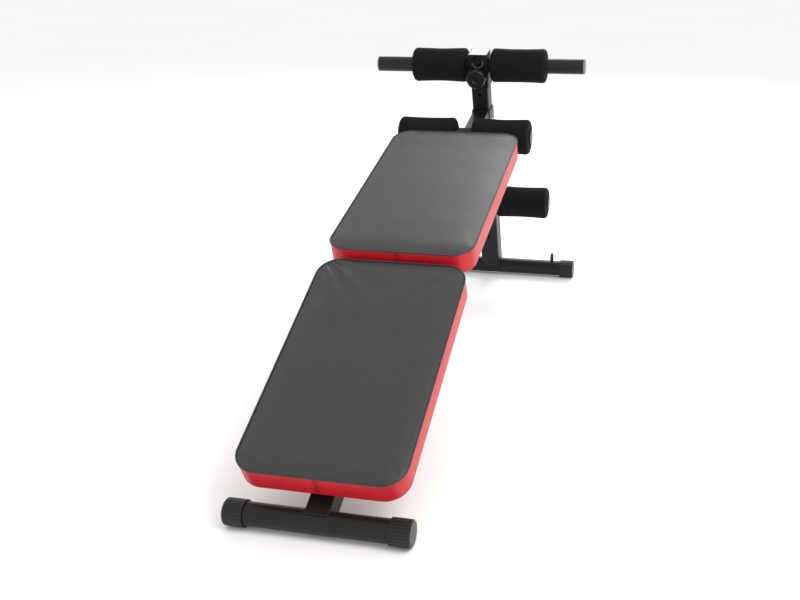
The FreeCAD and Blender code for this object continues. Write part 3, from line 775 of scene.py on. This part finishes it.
# ---------------------------------------------------------------- small details
TUBE_CORNER = 4 * MM
FLAT_STEPS = 24
CORNER_STEPS = 6
WELD_LIFT = 1 * MM
RIPPLE = 0.16                 # share of a bead's thickness
RIPPLE_TURN = 1.9             # radians from one point of the path to the next
UNEVEN = 0.12
UNEVEN_TURN = 0.37
FOOT_WELD = 1.9 * MM
BEAM_WELD = 2.0 * MM
T_BAR_WELD = 1.8 * MM
WELD_STEPS = 60
RIVET_STEPS = 20
RIVET_RINGS = ((4.2 * MM, -0.3 * MM), (4.0 * MM, 0.5 * MM), (3.0 * MM, 1.1 * MM),
               (1.2 * MM, 1.0 * MM), (0.5 * MM, 0.5 * MM))      # radius, height above the tube
RIVET_X = 37 * MM
RIVET_TURN = math.radians(-12)
STICKER_X = 21 * MM           # half its width and depth
STICKER_Y = 22 * MM
STICKER_CORNER = 3 * MM
STICKER_THICKNESS = 0.3 * MM
STICKER_STEPS = 6


def square_outline(half, corner):
    """Points round a square tube's outline, about 1.5 mm apart on the flats."""
    points = []
    flat = half - corner
    for quarter in range(4):
        turn = Matrix.Rotation(quarter * math.pi / 2, 2)
        for i in range(FLAT_STEPS):
            points.append(turn @ Vector((half, -flat + 2 * flat * i / FLAT_STEPS)))
        for i in range(CORNER_STEPS):
            angle = math.pi / 2 * i / CORNER_STEPS
            x = flat + corner * math.cos(angle)
            y = flat + corner * math.sin(angle)
            points.append(turn @ Vector((x, y)))
    return points


def weld(name, path, size, body, matrix):
    """A weld bead: a closed tube whose thickness ripples like laid drops."""
    def ripple(i):
        stray = noise.noise(Vector((i * UNEVEN_TURN, size * 900, 0)))
        return size * (1 + RIPPLE * math.sin(i * RIPPLE_TURN) + UNEVEN * stray)

    bead = new_object(name, mesh_from(name, *sweep(path, ripple, 8, True)), [STEEL], matrix)
    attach(bead, body)


def make_welds():
    """Beads where the feet, the rear beam and the T-bar's tubes meet their square tubes."""
    foot_low, foot_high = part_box("front_foot_tube")
    foot_r = (foot_high.z - foot_low.z) / 2
    beam_low, beam_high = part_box("front_beam")
    beam = (beam_high.x - beam_low.x) / 2
    leg_low, leg_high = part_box("leg")
    leg = (leg_high.x - leg_low.x) / 2

    def on_foot(y):
        return math.sqrt(max(foot_r ** 2 - y ** 2, 0.0)) + WELD_LIFT

    path = [Vector((p.x, on_foot(p.y), p.y)) for p in square_outline(beam, TUBE_CORNER)]
    weld("front_foot_weld", path, FOOT_WELD, "front_frame", FRONT_FOOT)
    path = [Vector((p.x, p.y, on_foot(p.y))) for p in square_outline(leg, TUBE_CORNER)]
    weld("rear_foot_weld", path, FOOT_WELD, "rear_frame", REAR_FOOT)

    face = REAR_FOOT.to_3x3() @ Vector((0, -1, 0))
    on_face = REAR_FOOT @ Vector((0, -leg, 0))
    along = REAR_BEAM.to_3x3() @ Vector((0, 1, 0))
    path = []
    for p in square_outline(beam, TUBE_CORNER):
        start = REAR_BEAM @ Vector((p.x, 0, p.y))
        path.append(start + along * ((on_face - start).dot(face) / along.dot(face)))
    weld("rear_beam_weld", path, BEAM_WELD, "rear_frame", Matrix.Identity(4))

    tube_low, tube_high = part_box("t_bar_end_plugs")
    tube_r = (tube_high.z - tube_low.z) / 2
    turns = [TAU * i / WELD_STEPS for i in range(WELD_STEPS)]
    for side, name in ((1, "right"), (-1, "left")):
        path = [Vector((side * leg, tube_r * math.cos(turn), tube_r * math.sin(turn))) for turn in turns]
        weld("t_bar_weld_" + name, path, T_BAR_WELD, "t_bar", T_BAR)


def make_rivet():
    """Small painted plug screw in the front of the front foot tube."""
    low, high = box_in("front_foot_tube", FRONT_FOOT)
    foot_r = (high.z - low.z) / 2
    count = RIVET_STEPS
    turns = [TAU * k / count for k in range(count)]
    vertices = [Vector((r * math.cos(turn), -foot_r - out, r * math.sin(turn)))
                for r, out in RIVET_RINGS for turn in turns]
    last = (len(RIVET_RINGS) - 1) * count
    faces = [tuple(range(count)), tuple(range(last, last + count))]
    for a in range(0, last, count):
        b = a + count
        faces += [(a + k, a + (k + 1) % count, b + (k + 1) % count, b + k) for k in range(count)]
    place = FRONT_FOOT @ Matrix.Rotation(RIVET_TURN, 4, "X") @ Matrix.Translation((RIVET_X, 0, 0))
    rivet = new_object("front_foot_rivet", mesh_from("rivet", vertices, faces), [STEEL], place)
    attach(rivet, "front_frame")


def make_sticker():
    """Blank sticker on the sleeve's top plug."""
    _, sleeve_high = box_in("t_bar_sleeve", T_BAR)
    low = sleeve_high.z
    high = low + STICKER_THICKNESS
    core_x = STICKER_X - STICKER_CORNER
    core_y = STICKER_Y - STICKER_CORNER
    rim = []
    for quarter, (sx, sy) in enumerate(((1, 1), (-1, 1), (-1, -1), (1, -1))):
        for i in range(STICKER_STEPS + 1):
            angle = math.pi / 2 * (quarter + i / STICKER_STEPS)
            x = sx * core_x + STICKER_CORNER * math.cos(angle)
            y = sy * core_y + STICKER_CORNER * math.sin(angle)
            rim.append((x, y))
    count = len(rim)
    vertices = [Vector((x, y, z)) for z in (low, high) for x, y in rim]
    faces = [tuple(range(count)), tuple(range(count, 2 * count))]
    faces += [(k, (k + 1) % count, count + (k + 1) % count, count + k) for k in range(count)]
    mesh = mesh_from("sticker", vertices, faces)
    sticker = new_object("plain_sticker", mesh, [STICKER], T_BAR, smooth=False)
    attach(sticker, "t_bar")


# ---------------------------------------------------------------- stage
CAMERA_PLACE = Vector((0.6013, -2.0342, 0.9662))
CAMERA_PITCH = math.radians(21.36)
CAMERA_YAW = math.radians(13.72)
CAMERA_ROLL = math.radians(0.96)
SENSOR_WIDTH = 36
LENS = 45
LENS_SHIFT_X = -0.09
LENS_SHIFT_Y = 0.015
FLOOR_HALF = 14.0
FLOOR_DROP = 0.5 * MM         # keeps the floor clear of the feet's undersides
FLOOR_GREY = (0.93, 0.93, 0.93)
FLOOR_DARK = (0.92, 0.92, 0.92)
FLOOR_LIGHT = (0.94, 0.94, 0.94)


def make_camera():
    """The camera found from the photo: place, direction and shifted lens."""
    forward = Vector((-math.sin(CAMERA_YAW) * math.cos(CAMERA_PITCH),
                      math.cos(CAMERA_YAW) * math.cos(CAMERA_PITCH), -math.sin(CAMERA_PITCH)))
    level = Vector((math.cos(CAMERA_YAW), math.sin(CAMERA_YAW), 0))
    down = forward.cross(level)
    right = math.cos(CAMERA_ROLL) * level + math.sin(CAMERA_ROLL) * down
    down = -math.sin(CAMERA_ROLL) * level + math.cos(CAMERA_ROLL) * down
    data = bpy.data.cameras.new("camera")
    data.sensor_width = SENSOR_WIDTH
    data.lens = LENS
    data.shift_x = LENS_SHIFT_X
    data.shift_y = LENS_SHIFT_Y
    camera = bpy.data.objects.new("camera", data)
    bpy.context.scene.collection.objects.link(camera)
    turn = Matrix((right, -down, -forward)).transposed().to_4x4()
    camera.matrix_world = Matrix.Translation(CAMERA_PLACE) @ turn
    bpy.context.scene.camera = camera


def area_light(name, place, target, size, power):
    """A rectangular lamp that faces the target; size in metres, power in watts."""
    data = bpy.data.lights.new(name, "AREA")
    data.shape = "RECTANGLE"
    data.size = size[0]
    data.size_y = size[1]
    data.energy = power
    light = bpy.data.objects.new(name, data)
    bpy.context.scene.collection.objects.link(light)
    light.location = place
    light.rotation_mode = "QUATERNION"
    light.rotation_quaternion = (Vector(target) - Vector(place)).to_track_quat("-Z", "Y")


def make_stage():
    """A pale floor, a white world and two large lamps."""
    corners = ((-1, -1), (1, -1), (1, 1), (-1, 1))
    vertices = [Vector((x * FLOOR_HALF, y * FLOOR_HALF, -FLOOR_DROP)) for x, y in corners]
    material, tree, principled = shader("pale_floor", FLOOR_GREY, 0.6)
    cloud = texture(tree, "ShaderNodeTexNoise", 0.8)
    tint = ramp(tree, cloud.outputs["Fac"], [(0.3, FLOOR_DARK), (0.7, FLOOR_LIGHT)])
    tree.links.new(tint.outputs["Color"], principled.inputs["Base Color"])
    floor = new_object("floor", mesh_from("floor", vertices, [(0, 1, 2, 3)]), [material], smooth=False)
    world = bpy.data.worlds.new("studio")
    world.use_nodes = True
    background = world.node_tree.nodes["Background"]
    background.inputs["Color"].default_value = (1, 1, 1, 1)
    background.inputs["Strength"].default_value = 1.0
    bpy.context.scene.world = world
    area_light("key", (1.7, -1.0, 2.6), (0, 0, 0.3), (1.6, 1.6), 40)
    area_light("back", (0.4, 3.2, 2.4), (0, 0.2, 0.3), (2.4, 1.2), 60)
    bpy.context.scene.view_settings.view_transform = "Standard"


# ---------------------------------------------------------------- the bench
FRONT_CREASES = {(-1, 1): 3.4 * MM, (1, 1): 1.1 * MM, (-1, -1): 0.25 * MM, (1, -1): 0.25 * MM}
REAR_CREASES = {(-1, 1): 0.5 * MM, (1, 1): 0.4 * MM, (-1, -1): 0.15 * MM, (1, -1): 0.15 * MM}
finish_cad_nodes()
make_pad("front", FRONT_UP, "front_frame", FRONT_CREASES, 1.7)
make_pad("rear", REAR_UP, "rear_frame", REAR_CREASES, 5.1)
for pair, bar in (("knee", "knee_bar"), ("lower", "lower_bar"), ("t_bar", "t_bar_end_plugs")):
    for side in ("left", "right"):
        make_roller(pair + "_roller_" + side, bar)
make_welds()
make_sticker()
make_rivet()
make_camera()
make_stage()
